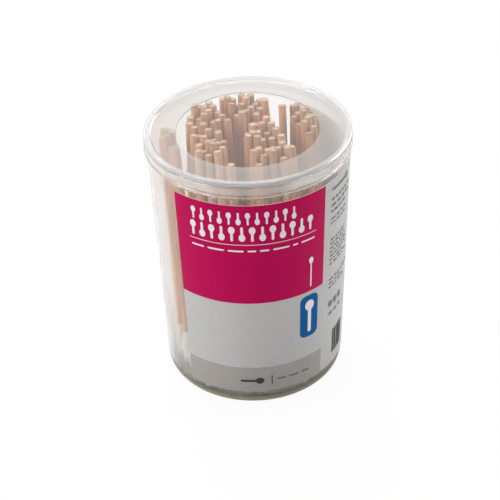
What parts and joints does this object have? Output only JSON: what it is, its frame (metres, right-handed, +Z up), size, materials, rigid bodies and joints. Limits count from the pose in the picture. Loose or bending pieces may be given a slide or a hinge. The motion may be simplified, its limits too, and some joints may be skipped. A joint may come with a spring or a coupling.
{
  "type": "cotton swab tub",
  "caption": "Round clear tub with a press-on lid and a wrap label, full of wooden swabs that stand on their cotton tips and lean to the back.",
  "frame": {"origin": "centre of the base, on the surface that the tub stands on", "axes": "+Z up along the tub's axis, the label's front panel faces -Y"},
  "size_m": [0.0582, 0.0582, 0.0794],
  "materials": {
    "clear_plastic": "clear, glossy",
    "label_film": "satin white film",
    "magenta_print": "satin print",
    "grey_print": "satin print",
    "blue_print": "satin print",
    "stick_wood": "raw birch",
    "cotton": "wound cotton"
  },
  "bodies": {
    "tub": {"tub": "clear_plastic", "label": "label_film", "label_field": "magenta_print", "label_band": "grey_print", "label_tag": "blue_print", "sticks_row_1": "stick_wood", "sticks_row_2": "stick_wood", "sticks_row_3": "stick_wood", "sticks_row_4": "stick_wood", "sticks_row_5": "stick_wood", "sticks_row_6": "stick_wood", "sticks_row_7": "stick_wood", "sticks_row_8": "stick_wood", "sticks_row_9": "stick_wood", "sticks_row_10": "stick_wood", "sticks_row_11": "stick_wood", "sticks_row_12": "stick_wood", "cotton_tips_row_1": "cotton", "cotton_tips_row_2": "cotton", "cotton_tips_row_3": "cotton", "cotton_tips_row_4": "cotton", "cotton_tips_row_5": "cotton", "cotton_tips_row_6": "cotton", "cotton_tips_row_7": "cotton", "cotton_tips_row_8": "cotton", "cotton_tips_row_9": "cotton", "cotton_tips_row_10": "cotton", "cotton_tips_row_11": "cotton", "cotton_tips_row_12": "cotton"},
    "lid": {"lid": "clear_plastic"}
  },
  "joints": [
    {"name": "lid_lift", "type": "slide", "parent": "tub", "child": "lid", "axis": [0, 0, 1], "range_m": [0, 0.03]}
  ]
}
